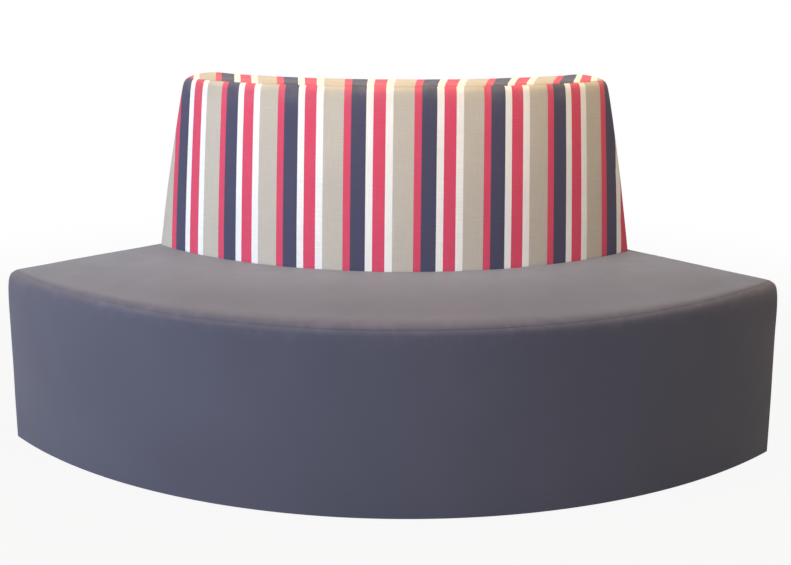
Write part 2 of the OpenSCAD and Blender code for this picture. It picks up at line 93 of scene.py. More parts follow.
# The photograph's frame and the camera that was fitted to it
PHOTO_W = 791
FOCAL_PX = 1066.1
AXIS_ABOVE_MIDDLE_PX = 73.1
SENSOR_W = 36.0
CAMERA_PLACE = (0.1248, -2.5540, 1.1409)
CAMERA_YAW, CAMERA_PITCH, CAMERA_ROLL = (math.radians(a) for a in (2.387, 11.860, 0.169))


def make_camera():
    """The camera of the photograph: turned by yaw, then pitched down, then rolled."""
    data = bpy.data.cameras.new("camera")
    data.sensor_width = SENSOR_W
    data.lens = FOCAL_PX / PHOTO_W * SENSOR_W
    data.shift_y = -AXIS_ABOVE_MIDDLE_PX / PHOTO_W
    camera = bpy.data.objects.new("camera", data)
    bpy.context.scene.collection.objects.link(camera)
    turn = (Matrix.Rotation(CAMERA_YAW, 4, "Z")
            @ Matrix.Rotation(math.pi / 2 - CAMERA_PITCH, 4, "X")
            @ Matrix.Rotation(CAMERA_ROLL, 4, "Z"))
    camera.matrix_world = Matrix.Translation(CAMERA_PLACE) @ turn
    bpy.context.scene.camera = camera


# Padded surfaces. A row is a point of the outline in the upright plane, with its normal
# and its end rounding; a column is a place along the width, or a turn round an end's edge.

OUTLINE_SAMPLES = 900
SMALLEST_LENGTH = 1e-12
# The panels whose grids run the other way round
FLIPPED = {"front": False, "top": False, "rear": False, "left": True, "right": False}


class Outline:
    """Three straight runs joined by two fillets, measured by arc length from the front hem."""

    def __init__(self, points, radii, seam_shares):
        points = [np.array(p, float) for p in points]
        runs = [b - a for a, b in zip(points, points[1:])]
        lengths = [np.linalg.norm(v) for v in runs]
        self.ways = [v / l for v, l in zip(runs, lengths)]
        self.normals = [np.array((w[1], -w[0])) for w in self.ways]
        self.radii = radii
        turns, self.centres, cuts = [], [], []
        for i, r in enumerate(radii):
            n, m = self.normals[i], self.normals[i + 1]
            turns.append(math.acos(float(np.clip(n @ m, -1, 1))))
            self.centres.append(points[i + 1] - r * (n + m) / (1 + n @ m))
            cuts.append(r * math.tan(turns[-1] / 2))
        straight = [lengths[0] - cuts[0], lengths[1] - cuts[0] - cuts[1], lengths[2] - cuts[1]]
        arcs = [r * t for r, t in zip(radii, turns)]
        self.ends = np.cumsum([straight[0], arcs[0], straight[1], arcs[1], straight[2]])
        self.starts = [points[0], points[1] + cuts[0] * self.ways[1],
                       points[2] + cuts[1] * self.ways[2]]
        self.total = self.ends[-1]
        self.seams = [self.ends[0] + seam_shares[0] * arcs[0],
                      self.ends[2] + seam_shares[1] * arcs[1]]

    def at(self, s):
        """Points and outward normals at the arc lengths s."""
        s = np.atleast_1d(np.asarray(s, float))
        p, n = np.zeros((len(s), 2)), np.zeros((len(s), 2))
        begins = np.concatenate([[0], self.ends[:-1]])
        part = np.clip(np.searchsorted(self.ends, s, side="left"), 0, len(self.ends) - 1)
        for k in range(len(self.ends)):
            here = part == k
            run = (s[here] - begins[k])[:, None]
            i = k // 2
            if k % 2 == 0:
                p[here] = self.starts[i] + run * self.ways[i]
                n[here] = self.normals[i]
            else:
                a = math.atan2(self.normals[i][1], self.normals[i][0]) + run / self.radii[i]
                n[here] = np.hstack([np.cos(a), np.sin(a)])
                p[here] = self.centres[i] + self.radii[i] * n[here]
        return p, n


def smooth_step(x):
    x = np.clip(x, 0, 1)
    return x * x * (3 - 2 * x)


def ring_point(r, bearing, z):
    return np.stack([r * np.sin(bearing), RING_Y - r * np.cos(bearing), z + 0 * r], axis=-1)


def ring_radius(points):
    return np.hypot(points[..., 0], points[..., 1] - RING_Y)


def ring_bearing(points):
    return np.arctan2(points[..., 0], RING_Y - points[..., 1])


class Pad:
    """A padded unit: its outline and what its rows carry. end_r gives the rounding of the
    ends, gap their distance from the ring's cut, crown the padding's rise, and end_fade says
    how much of that rise is gone at the ends. The front seam climbs by seam_climb there."""

    def __init__(self, outline, end_r, gap, crown, end_fade, seam_climb=0.0):
        self.outline = outline
        self.end_r = end_r
        self.gap = gap
        self.crown = crown
        self.end_fade = end_fade
        self.seam_climb = seam_climb

    def at(self, s):
        """Points, normals, end rounding, end gap and crown at the arc lengths s."""
        p, n = self.outline.at(s)
        return p, n, self.end_r(p), self.gap(p[:, 1]), self.crown(s, p)

    def points(self, s, columns):
        """The surface at the places s, given for each row and column, of the columns (side,
        turn, share), as rows x columns x 3."""
        side, turn, share = (c[None, :] for c in columns)
        p, n, end_r, gap, lift = (v.reshape(s.shape + v.shape[1:]) for v in self.at(s.ravel()))
        fade = np.where(side != 0, 1.0, np.abs(share) ** CROWN_FADE_POWER)
        lift = lift * (1 - self.end_fade * fade) - end_r * (1 - np.cos(turn))
        r = p[..., 0] + lift * n[..., 0]
        z = p[..., 1] + lift * n[..., 1]
        edge = HALF_SPAN - np.arcsin((gap + end_r * (1 - np.sin(turn))) / r)
        inner = share * (HALF_SPAN - np.arcsin((gap + end_r) / r))
        return ring_point(r, np.where(side != 0, side * edge, inner), z)

    def end_outline(self, s):
        """The outline as it stands at the two ends, where part of the crown is gone."""
        p, n, end_r, _, lift = self.at(s)
        return p + (lift * (1 - self.end_fade))[:, None] * n, n, end_r


def graded(length, cell, edge_cells):
    """Places from 0 to length with fine steps at both ends and even ones between."""
    edge = np.cumsum(edge_cells)
    edge = edge[edge < length / 3]
    inner = max(1, round((length - 2 * edge[-1]) / cell))
    return np.concatenate([[0], edge, np.linspace(edge[-1], length - edge[-1], inner + 1)[1:-1],
                           length - edge[::-1], [length]])


def in_plane(points):
    """Radius and height of points of the ring."""
    return np.stack([ring_radius(points), points[..., 2]], axis=-1)


class Net:
    """The rows and columns in which the five panels of a pad are drawn. Neighbours share
    their border points."""

    def __init__(self, pad, cell, edge_cells, edge_steps):
        line = pad.outline
        first, second = line.seams
        width = FRONT_RADIUS * 2 * HALF_SPAN
        across = self.lay_columns(width, cell, edge_cells, edge_steps)
        s_front = graded(first, cell, edge_cells)
        s_top = first + graded(second - first, cell, edge_cells)
        # The rear has as many rows as the front, so that the ends are grids too
        s_rear = second + (line.total - second) * (1 - s_front[::-1] / first)
        back = s_top - first
        self.rows = {"front": s_front, "top": s_top, "rear": s_rear,
                     "left": s_front, "right": s_front}
        self.places = {"front": across, "top": across, "rear": across, "left": back, "right": back}
        # The front seam climbs towards both ends
        climb = pad.seam_climb * np.clip(np.abs(across) * 2 / width, 0, 1) ** 2
        places = {"front": s_front[:, None] * (1 + climb / first),
                  "top": s_top[:, None] + climb * ((second - s_top) / (second - first))[:, None],
                  "rear": s_rear[:, None] + 0 * climb}
        self.panels = {k: pad.points(places[k], self.columns) for k in ("front", "top", "rear")}
        for name, side, column in (("left", -1, 0), ("right", 1, -1)):
            self.panels[name] = self.end_panel(pad, side, column, s_front / first, back / back[-1])

    def lay_columns(self, width, cell, edge_cells, edge_steps):
        """Sets the columns, each with its side, its turn round the end's edge and its share of
        the half width, and gives their places across the width back."""
        turns = SEAM_TURN * np.linspace(1, 0, edge_steps + 1)[:-1]
        shares = graded(2, cell * 2 / width, np.array(edge_cells) * 2 / width) - 1
        none, many = np.zeros(edge_steps), np.zeros(len(shares))
        self.columns = (np.concatenate([none - 1, many, none + 1]),
                        np.concatenate([turns, many, turns[::-1]]),
                        np.concatenate([none, shares, none]))
        return np.concatenate([-width / 2 - CORNER_R * turns, shares * width / 2,
                               width / 2 + CORNER_R * turns[::-1]])

    def end_panel(self, pad, side, column, up, back):
        """One end as a grid between the seams of the front, top and rear panels."""
        borders = [self.panels["front"][:, column], self.panels["rear"][::-1, column],
                   self.panels["top"][:, column]]
        front, rear, top = (in_plane(b) for b in borders)
        bottom = front[0] + back[:, None] * (rear[0] - front[0])
        v, w = up[:, None, None], back[None, :, None]
        flat = ((1 - v) * bottom[None] + v * top[None] + (1 - w) * front[:, None] + w * rear[:, None]
                - (1 - v) * (1 - w) * front[0] - v * (1 - w) * front[-1]
                - (1 - v) * w * rear[0] - v * w * rear[-1])
        p, n, end_r = pad.end_outline(np.linspace(0, pad.outline.total, OUTLINE_SAMPLES))
        away = flat[:, :, None, :] - p[None, None]
        near = np.linalg.norm(away, axis=-1).argmin(axis=2)
        nearest = np.take_along_axis(away, near[:, :, None, None], axis=2)[:, :, 0]
        inset = -(nearest * n[near]).sum(axis=-1)
        end_r = end_r[near]
        turn = np.arccos(np.clip(1 - inset / end_r, 0, 1))
        r, z = flat[..., 0], flat[..., 1]
        depth = pad.gap(z) + end_r * (1 - np.sin(turn))
        grid = ring_point(r, side * (HALF_SPAN - np.arcsin(depth / r)), z)
        grid[:, 0], grid[:, -1], grid[-1, :] = borders
        return grid


def grid_faces(n, m, start=0, flip=False):
    i, j = np.meshgrid(np.arange(n - 1), np.arange(m - 1), indexing="ij")
    a = (start + i * m + j).ravel()
    quad = np.stack([a, a + 1, a + m + 1, a + m], axis=1)
    return quad[:, ::-1] if flip else quad


def make_mesh(name, verts, faces):
    mesh = bpy.data.meshes.new(name)
    mesh.from_pydata(np.asarray(verts).tolist(), [], np.asarray(faces).tolist())
    mesh.update()
    return mesh


def add_object(name, mesh):
    obj = bpy.data.objects.new(name, mesh)
    bpy.context.scene.collection.objects.link(obj)
    return obj


def grid_normals(name, grid):
    """Unit normals of a panel's grid, pointing out of the padding."""
    n = np.cross(np.gradient(grid, axis=1), np.gradient(grid, axis=0))
    n = n / np.maximum(np.linalg.norm(n, axis=-1, keepdims=True), SMALLEST_LENGTH)
    return -n if FLIPPED[name] else n


# Padding under a tight cover, worked out as cloth under pressure

SIM_FRAMES = 20
SIM_QUALITY = 6
CLOTH_MASS = 0.4
STRETCH_STIFFNESS = 120
SHEAR_STIFFNESS = 60
BEND_STIFFNESS = 10
PRESSURE = 3.0
# Points that agree to a micrometre are one
STEPS_PER_METRE = 1e6
# Lifts far below this one fade to nothing
PUFF_START = 0.0006
EVENING_ROUNDS = 12


def join(panels, held):
    """The panels as one mesh: its points, its faces, how firmly each point is held, and
    where each panel's points are in it. Seams and hems are held at every point."""
    points = np.concatenate([grid.reshape(-1, 3) for grid in panels.values()])
    keys = np.round(points * STEPS_PER_METRE).astype(np.int64)
    _, first, back = np.unique(keys, axis=0, return_index=True, return_inverse=True)
    back = back.ravel()
    faces, pins, places, start = [], [], {}, 0
    for part, grid in panels.items():
        n, m = grid.shape[:2]
        faces.append(back[grid_faces(n, m, start, FLIPPED[part])])
        pin = np.array(held(grid), float) * np.ones((n, m))
        pin[0] = pin[-1] = pin[:, 0] = pin[:, -1] = 1
        pins.append(pin.ravel())
        places[part] = back[start:start + n * m]
        start += n * m
    hold = np.zeros(len(first))
    np.maximum.at(hold, back, np.concatenate(pins))
    return points[first], np.concatenate(faces), hold, places


def blow_up(name, points, faces, hold):
    """How far each point moves when the mesh is blown up as cloth."""
    obj = add_object(name + "_sim", make_mesh(name + "_sim", points, faces))
    group = obj.vertex_groups.new(name="held")
    for value in np.unique(hold):
        group.add(np.flatnonzero(hold == value).tolist(), float(value), "REPLACE")
    cloth = obj.modifiers.new("cloth", "CLOTH")
    settings = cloth.settings
    settings.quality = SIM_QUALITY
    settings.mass = CLOTH_MASS
    settings.tension_stiffness = settings.compression_stiffness = STRETCH_STIFFNESS
    settings.shear_stiffness = SHEAR_STIFFNESS
    settings.bending_stiffness = BEND_STIFFNESS
    settings.use_pressure = True
    settings.uniform_pressure_force = PRESSURE
    settings.vertex_group_mass = group.name
    settings.effector_weights.gravity = 0
    cloth.point_cache.frame_start, cloth.point_cache.frame_end = 1, SIM_FRAMES
    scene = bpy.context.scene
    for f in range(1, SIM_FRAMES + 1):
        scene.frame_set(f)
    shape = obj.evaluated_get(bpy.context.evaluated_depsgraph_get()).to_mesh()
    moved = np.zeros(len(points) * 3)
    shape.vertices.foreach_get("co", moved)
    bpy.data.objects.remove(obj)
    scene.frame_set(1)
    return moved.reshape(-1, 3) - points


def softened(lift):
    """A panel's lifts, evened out among their neighbours while its borders stay."""
    for _ in range(EVENING_ROUNDS):
        around = (lift[:-2, 1:-1] + lift[2:, 1:-1] + lift[1:-1, :-2] + lift[1:-1, 2:]) / 4
        lift[1:-1, 1:-1] = (lift[1:-1, 1:-1] + around) / 2
    return lift


def puff(name, panels, held, caps):
    """Each panel's moves when the joined panels are blown up: outward only, and no further
    than the panel's cap."""
    points, faces, hold, places = join(panels, held)
    step = blow_up(name, points, faces, hold)
    moves = {}
    for part, grid in panels.items():
        out = grid_normals(part, grid)
        outward = (step[places[part]].reshape(grid.shape) * out).sum(axis=-1, keepdims=True)
        lift = softened(np.maximum(outward, 0))
        lift = lift ** 2 / (lift + PUFF_START)
        moves[part] = out * lift * min(1, caps[part] / lift.max())
        print("puff", name, part, "largest lift %.1f mm" % (1000 * lift.max()))
    return moves


def resample(field, places, wanted):
    """A smooth curve through the field's values along its first axis, at the wanted places."""
    slope = np.gradient(field, places, axis=0)
    k = np.clip(np.searchsorted(places, wanted, side="right") - 1, 0, len(places) - 2)
    step = places[k + 1] - places[k]
    upright = (-1,) + (1,) * (field.ndim - 1)
    t = ((wanted - places[k]) / step).reshape(upright)
    h = step.reshape(upright)
    return ((2 * t ** 3 - 3 * t ** 2 + 1) * field[k] + (t ** 3 - 2 * t ** 2 + t) * h * slope[k]
            + (3 * t ** 2 - 2 * t ** 3) * field[k + 1] + (t ** 3 - t ** 2) * h * slope[k + 1])


def carry_over(moves, coarse, fine):
    """Moves worked out on the coarse net, at the points of the fine one."""
    out = {}
    for k, field in moves.items():
        along = resample(field, coarse.rows[k], fine.rows[k])
        across = resample(along.swapaxes(0, 1), coarse.places[k], fine.places[k])
        out[k] = across.swapaxes(0, 1)
    return out


# Seams and unevenness

ALL_BORDERS = ("low", "high", "left", "right")
# The border of each panel that is its hem
HEMS = {"front": "low", "rear": "high", "left": "low", "right": "low"}
FAR_FROM_SEAM = 1.0
SEAM_RISE = 0.0010
SEAM_REACH = 0.0045

# Unevenness of cloth and foam: waves, each with its radians per metre along x, y
# and z, and its phase
WAVES = (((21.0, 9.0, 14.0), 0.4), ((-13.0, 24.0, 31.0), 2.1), ((47.0, -22.0, 18.0), 4.4),
         ((-38.0, -41.0, 27.0), 1.3), ((66.0, 31.0, -52.0), 5.2), ((-71.0, 58.0, 44.0), 3.6))
WAVE_HEIGHT = 0.0012
PHASE_PER_AXIS = 2.2


def seam_places(name, grid, tucked):
    """Each point's distance to the nearest seam, and its place along that seam. A hem that
    is tucked in counts as a seam."""
    n, m = grid.shape[:2]
    along = np.linalg.norm(np.diff(grid, axis=0), axis=-1)
    across = np.linalg.norm(np.diff(grid, axis=1), axis=-1)
    row_run = np.concatenate([np.zeros((1, m)), np.cumsum(along, axis=0)])
    column_run = np.concatenate([np.zeros((n, 1)), np.cumsum(across, axis=1)], axis=1)
    far = {"low": (row_run, column_run), "high": (row_run[-1:] - row_run, column_run),
           "left": (column_run, row_run), "right": (column_run[:, -1:] - column_run, row_run)}
    near, run = np.full((n, m), FAR_FROM_SEAM), np.zeros((n, m))
    for border in ALL_BORDERS:
        if border == HEMS.get(name) and not tucked:
            continue
        distance, place = far[border]
        run = np.where(distance < near, place, run)
        near = np.minimum(distance, near)
    return near, run


def unevenness(points):
    """A small smooth shift that depends on the place alone, so joined panels stay joined."""
    shift = np.zeros_like(points)
    for i, (wave, phase) in enumerate(WAVES):
        angle = points @ np.array(wave)
        scale = WAVE_HEIGHT / (1 + i / 2)
        for axis in range(3):
            shift[..., axis] += scale * np.sin(angle + phase + PHASE_PER_AXIS * axis)
    return shift / len(WAVES)


def panel_object(name, part, grid, pattern, wear, tucked, material, node):
    """A panel of cover as a closed sheet. It rises off its seams, and it carries its distance from
    the seams, which places painted shade beside them, its wear, which on the back also places painted
    shade on the top roll, and, where it has stripes, its flat pattern as attributes."""
    near, run = seam_places(part, grid, tucked)
    rise = SEAM_RISE * (1 - np.exp(-near / SEAM_REACH))
    shaped = grid + grid_normals(part, grid) * rise[..., None]
    n, m = grid.shape[:2]
    mesh = make_mesh(name, shaped.reshape(-1, 3), grid_faces(n, m, 0, FLIPPED[part]))
    fields = {"seam": np.dstack([near, run, wear])}
    if pattern is not None:
        fields["pattern"] = np.dstack([pattern, np.zeros((n, m))])
    for label, values in fields.items():
        layer = mesh.attributes.new(label, "FLOAT_VECTOR", "POINT")
        layer.data.foreach_set("vector", values.astype(np.float32).ravel())
    mesh.polygons.foreach_set("use_smooth", np.ones(len(mesh.polygons), bool))
    obj = add_object(name, mesh)
    mesh.materials.append(material)
    smooth = obj.modifiers.new("smooth", "SUBSURF")
    smooth.levels = smooth.render_levels = 1
    smooth.boundary_smooth = "PRESERVE_CORNERS"
    sheet = obj.modifiers.new("sheet", "SOLIDIFY")
    sheet.thickness = COVER_T
    sheet.offset = -1
    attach(obj, "root")
    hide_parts(node)


# Node helpers. Each takes the material or the world that gets the node.

def new_material(name):
    mat = bpy.data.materials.new(name)
    mat.use_nodes = True
    nodes = mat.node_tree.nodes
    nodes.clear()
    out = nodes.new("ShaderNodeOutputMaterial")
    shader = nodes.new("ShaderNodeBsdfPrincipled")
    mat.node_tree.links.new(shader.outputs[0], out.inputs["Surface"])
    return mat, shader


def link(mat, source, target):
    mat.node_tree.links.new(source, target)


def feed(mat, socket, value):
    """Gives a socket a number, a colour or another node's output."""
    if isinstance(value, (int, float)):
        socket.default_value = value
    elif isinstance(value, tuple):
        socket.default_value = (*value, 1)
    else:
        link(mat, value, socket)


def math_node(mat, operation, *values):
    node = mat.node_tree.nodes.new("ShaderNodeMath")
    node.operation = operation
    for socket, value in zip(node.inputs, values):
        feed(mat, socket, value)
    return node.outputs[0]


def span_node(mat, value, low, high, start=0.0, end=1.0):
    """Maps low..high to start..end, clamped and smooth."""
    node = mat.node_tree.nodes.new("ShaderNodeMapRange")
    node.interpolation_type = "SMOOTHSTEP"
    feed(mat, node.inputs["Value"], value)
    for socket, number in (("From Min", low), ("From Max", high), ("To Min", start), ("To Max", end)):
        node.inputs[socket].default_value = number
    return node.outputs["Result"]


def noise_node(mat, vector, scale, detail=2.0, roughness=0.5):
    node = mat.node_tree.nodes.new("ShaderNodeTexNoise")
    node.inputs["Scale"].default_value = scale
    node.inputs["Detail"].default_value = detail
    node.inputs["Roughness"].default_value = roughness
    link(mat, vector, node.inputs["Vector"])
    return node.outputs["Fac"]


def cell_node(mat, vector, scale):
    node = mat.node_tree.nodes.new("ShaderNodeTexVoronoi")
    node.feature = "SMOOTH_F1"
    node.inputs["Scale"].default_value = scale
    link(mat, vector, node.inputs["Vector"])
    return node.outputs["Distance"]


def scaled(mat, vector, scale):
    node = mat.node_tree.nodes.new("ShaderNodeMapping")
    node.inputs["Scale"].default_value = scale
    link(mat, vector, node.inputs["Vector"])
    return node.outputs[0]


def ramp_node(mat, value, stops, interpolation="LINEAR"):
    node = mat.node_tree.nodes.new("ShaderNodeValToRGB")
    node.color_ramp.interpolation = interpolation
    elements = node.color_ramp.elements
    while len(elements) > 1:
        elements.remove(elements[-1])
    elements[0].position, elements[0].color = stops[0][0], (*stops[0][1], 1)
    for place, colour in stops[1:]:
        elements.new(place).color = (*colour, 1)
    link(mat, value, node.inputs["Fac"])
    return node.outputs["Color"]


def bump_node(mat, height, strength, distance, before=None):
    node = mat.node_tree.nodes.new("ShaderNodeBump")
    node.inputs["Strength"].default_value = strength
    node.inputs["Distance"].default_value = distance
    link(mat, height, node.inputs["Height"])
    if before is not None:
        link(mat, before, node.inputs["Normal"])
    return node.outputs["Normal"]


def object_place(mat):
    return mat.node_tree.nodes.new("ShaderNodeTexCoord").outputs["Object"]


def attribute(mat, name):
    """A panel's attribute, whole and as its three numbers."""
    node = mat.node_tree.nodes.new("ShaderNodeAttribute")
    node.attribute_name = name
    split = mat.node_tree.nodes.new("ShaderNodeSeparateXYZ")
    link(mat, node.outputs["Vector"], split.inputs[0])
    return node.outputs["Vector"], split.outputs


def mix_colour(mat, kind, factor, a, b):
    """A Mix node set to colours, whose factor, first and second colour are its inputs 0, 6 and 7."""
    node = mat.node_tree.nodes.new("ShaderNodeMix")
    node.data_type, node.blend_type = "RGBA", kind
    for socket, value in ((node.inputs[0], factor), (node.inputs[6], a), (node.inputs[7], b)):
        feed(mat, socket, value)
    return node.outputs[2]


def tone(red, green, blue):
    """A colour given as it shows on a screen, from 0 to 255, as the linear values of a shader."""
    return tuple(c / 255 / 12.92 if c <= 10 else ((c / 255 + 0.055) / 1.055) ** 2.4
                 for c in (red, green, blue))


def times(colour, factor):
    return tuple(c * factor for c in colour)


def grey(value):
    return (value,) * 3


# The values between which a noise does most of its varying
NOISE_SPAN = (0.3, 0.7)


def varied(mat, noise, first, second):
    """A colour that drifts between two with a noise."""
    return ramp_node(mat, noise, list(zip(NOISE_SPAN, (first, second))))


def varied_number(mat, noise, first, second):
    return span_node(mat, noise, *NOISE_SPAN, first, second)


# Covers. Scales of noise and cells are per metre, and a bump is given by its strength and height.

CLOUD_DETAIL = 3
PATCH_DETAIL = 4
DENT_DETAIL = 2
DENTS = (0.3, 0.003)
STITCH_PITCH = 0.0045
# The puckers beside a seam are whole up to the first distance and gone at the second
PUCKER_REACH = (0.001, 0.009)


def seam_puckers(mat, distance, run):
    """The dimples of a seam: one for each stitch, on both sides of the valley."""
    dimple = math_node(mat, "SINE", math_node(mat, "MULTIPLY", run, 2 * math.pi / STITCH_PITCH))
    return math_node(mat, "MULTIPLY", dimple, span_node(mat, distance, *PUCKER_REACH, 1.0, 0.0))


VINYL = tone(86, 84, 100)
VINYL_CLOUDS = (times(VINYL, 0.94), times(VINYL, 1.06))
VINYL_CLOUD_SCALE = 3.0
# Scuffs are paler, and show where the cover is worn; wear also polishes it
SCUFFED = times(VINYL, 1.5)
SCUFF_SHARE = 0.35
SCUFF_SCALE = 38.0
SCUFF_SPAN = (0.45, 0.7)
POLISH = 0.06
# Painted shade in the seam grooves: its share in them, how far it reaches and what it leaves of the
# colour
VINYL_SEAM_SHADE = 0.25
VINYL_SEAM_SHADE_REACH = 0.003
VINYL_SEAM_SHADE_TINT = grey(0.45)
VINYL_ROUGHNESS = (0.46, 0.56)
VINYL_ROUGHNESS_SCALE = 11.0
VINYL_DENT_SCALE = 8.0
VINYL_PUCKERS = (0.35, 0.0005)
LEATHER_GRAIN = (0.22, 0.0004)
PEBBLE_SCALES = (640.0, 1150.0)
CREASE_SCALE = 170.0
CREASE_DETAIL = 4
CREASE_ROUGHNESS = 0.6


def vinyl():
    """Upholstery vinyl: fine leather grain, softly uneven, a little worn along its edges."""
    mat, shader = new_material("vinyl")
    place = object_place(mat)
    _, (distance, run, wear) = attribute(mat, "seam")
    colour = varied(mat, noise_node(mat, place, VINYL_CLOUD_SCALE, CLOUD_DETAIL), *VINYL_CLOUDS)
    patches = span_node(mat, noise_node(mat, place, SCUFF_SCALE, PATCH_DETAIL), *SCUFF_SPAN)
    scuffs = math_node(mat, "MULTIPLY", math_node(mat, "MULTIPLY", wear, patches), SCUFF_SHARE)
    colour = mix_colour(mat, "MIX", scuffs, colour, SCUFFED)
    # Painted shade: darker in the seam grooves
    seam_shade = span_node(mat, distance, 0.0, VINYL_SEAM_SHADE_REACH, VINYL_SEAM_SHADE, 0.0)
    colour = mix_colour(mat, "MULTIPLY", seam_shade, colour, VINYL_SEAM_SHADE_TINT)
    link(mat, colour, shader.inputs["Base Color"])
    uneven = noise_node(mat, place, VINYL_ROUGHNESS_SCALE, CLOUD_DETAIL)
    rough = varied_number(mat, uneven, *VINYL_ROUGHNESS)
    polish = math_node(mat, "MULTIPLY", wear, POLISH)
    link(mat, math_node(mat, "SUBTRACT", rough, polish), shader.inputs["Roughness"])
    pebbles = math_node(mat, "ADD", *(cell_node(mat, place, scale) for scale in PEBBLE_SCALES))
    creases = noise_node(mat, place, CREASE_SCALE, CREASE_DETAIL, CREASE_ROUGHNESS)
    grain = math_node(mat, "ADD", pebbles, creases)
    normal = bump_node(mat, noise_node(mat, place, VINYL_DENT_SCALE, DENT_DETAIL), *DENTS)
    normal = bump_node(mat, seam_puckers(mat, distance, run), *VINYL_PUCKERS, normal)
    link(mat, bump_node(mat, grain, *LEATHER_GRAIN, normal), shader.inputs["Normal"])
    shader.inputs["Specular IOR Level"].default_value = 0.03
    shader.inputs["Sheen Weight"].default_value = 0.35
    shader.inputs["Sheen Roughness"].default_value = 0.5
    return mat


RED = tone(216, 75, 107)
PALE = tone(241, 239, 242)
BEIGE = tone(193, 184, 177)
NAVY = tone(72, 71, 98)
# The repeat of the stripes, from the start of the wide red one
STRIPES = ((0.0307, RED), (0.0183, PALE), (0.0524, BEIGE),
           (0.0183, RED), (0.0376, NAVY), (0.0185, PALE))
STRIPE_START = -0.0398
THREAD = 0.0008
FRAY_SCALE = 800.0
# Slubs run along the stripes and picks across them, and together they shade the cloth
SLUB_SCALES = (900.0, 14.0, 1.0)
PICK_SCALES = (20.0, 900.0, 1.0)
THREAD_DETAIL = 2
THREAD_SHADES = [(0.32, grey(0.84)), (0.62, grey(1.0))]
FABRIC_CLOUDS = (grey(0.95), grey(1.0))
FABRIC_CLOUD_SCALE = 6.0
# Worn cloth fades to the pale colour in patches
FADE_SCALE = 25.0
FADE_SPAN = (0.3, 0.8)
FADE_SHARES = (0.03, 0.10)
# How strongly the cloth along the back's upper edge is darkened, and to what: partly grime from
# hands, partly painted shade that dims the top roll
ROLL_GRIME_AND_SHADE = 0.8
ROLL_GRIME_AND_SHADE_TINT = (0.84, 0.84, 0.79)
# Painted shade in the seam grooves and in the crevice at the back's foot, whose tucked hem counts as
# a seam: its share, how far it reaches and what it leaves of the colour
FABRIC_SEAM_SHADE = 0.3
FABRIC_SEAM_SHADE_REACH = 0.004
FABRIC_SEAM_SHADE_TINT = grey(0.5)
FABRIC_ROUGHNESS = (0.78, 0.92)
FABRIC_DENT_SCALE = 10.0
FABRIC_PUCKERS = (0.4, 0.0006)
WEAVE = (0.3, 0.0003)


def stripe_colour(mat, pattern, across):
    """The stripes across the cloth, with borders as ragged as its threads."""
    repeat = sum(width for width, _ in STRIPES)
    ragged = math_node(mat, "SUBTRACT", noise_node(mat, pattern, FRAY_SCALE, 1), 0.5)
    fray = math_node(mat, "MULTIPLY", ragged, THREAD)
    shifted = math_node(mat, "ADD", math_node(mat, "SUBTRACT", across, STRIPE_START), fray)
    turn = math_node(mat, "FRACT", math_node(mat, "DIVIDE", shifted, repeat))
    stops, start = [], 0.0
    for width, colour in STRIPES:
        stops.append((start / repeat, colour))
        start += width
    return ramp_node(mat, turn, stops, "CONSTANT")


def striped_fabric():
    """Woven stripes: plain weave, slubby threads, a soft nap, a little wear, and painted shade at the
    seams, the foot and the top roll.
    """
    mat, shader = new_material("striped_fabric")
    pattern, (across, along, _) = attribute(mat, "pattern")
    _, (distance, run, wear) = attribute(mat, "seam")
    place = object_place(mat)
    slub = noise_node(mat, scaled(mat, pattern, SLUB_SCALES), 1.0, THREAD_DETAIL)
    pick = noise_node(mat, scaled(mat, pattern, PICK_SCALES), 1.0, THREAD_DETAIL)
    threads = math_node(mat, "MULTIPLY", math_node(mat, "ADD", slub, pick), 0.5)
    shade = ramp_node(mat, threads, THREAD_SHADES)
    colour = mix_colour(mat, "MULTIPLY", 1.0, stripe_colour(mat, pattern, across), shade)
    cloud = varied(mat, noise_node(mat, place, FABRIC_CLOUD_SCALE, CLOUD_DETAIL), *FABRIC_CLOUDS)
    colour = mix_colour(mat, "MULTIPLY", 1.0, colour, cloud)
    patches = noise_node(mat, place, FADE_SCALE, PATCH_DETAIL)
    faded = math_node(mat, "MULTIPLY", wear, span_node(mat, patches, *FADE_SPAN, *FADE_SHARES))
    colour = mix_colour(mat, "MIX", faded, colour, PALE)
    # Partly grime, partly painted shade: the top roll is darkened
    roll_grime_and_shade = math_node(mat, "MULTIPLY", wear, ROLL_GRIME_AND_SHADE)
    colour = mix_colour(mat, "MULTIPLY", roll_grime_and_shade, colour, ROLL_GRIME_AND_SHADE_TINT)
    # Painted shade: darker in the seam grooves and at the foot
    seam_shade = span_node(mat, distance, 0.0, FABRIC_SEAM_SHADE_REACH, FABRIC_SEAM_SHADE, 0.0)
    colour = mix_colour(mat, "MULTIPLY", seam_shade, colour, FABRIC_SEAM_SHADE_TINT)
    link(mat, colour, shader.inputs["Base Color"])
    link(mat, varied_number(mat, slub, *FABRIC_ROUGHNESS), shader.inputs["Roughness"])
    radians_per_metre = 2 * math.pi / (2 * THREAD)
    warp = math_node(mat, "SINE", math_node(mat, "MULTIPLY", across, radians_per_metre))
    weft = math_node(mat, "SINE", math_node(mat, "MULTIPLY", along, radians_per_metre))
    weave = math_node(mat, "ADD", math_node(mat, "MULTIPLY", warp, weft), slub)
    normal = bump_node(mat, noise_node(mat, place, FABRIC_DENT_SCALE, DENT_DETAIL), *DENTS)
    normal = bump_node(mat, seam_puckers(mat, distance, run), *FABRIC_PUCKERS, normal)
    link(mat, bump_node(mat, weave, *WEAVE, normal), shader.inputs["Normal"])
    shader.inputs["Specular IOR Level"].default_value = 0.25
    shader.inputs["Sheen Weight"].default_value = 0.15
    shader.inputs["Sheen Roughness"].default_value = 0.5
    return mat


# Frame, foam and fixings

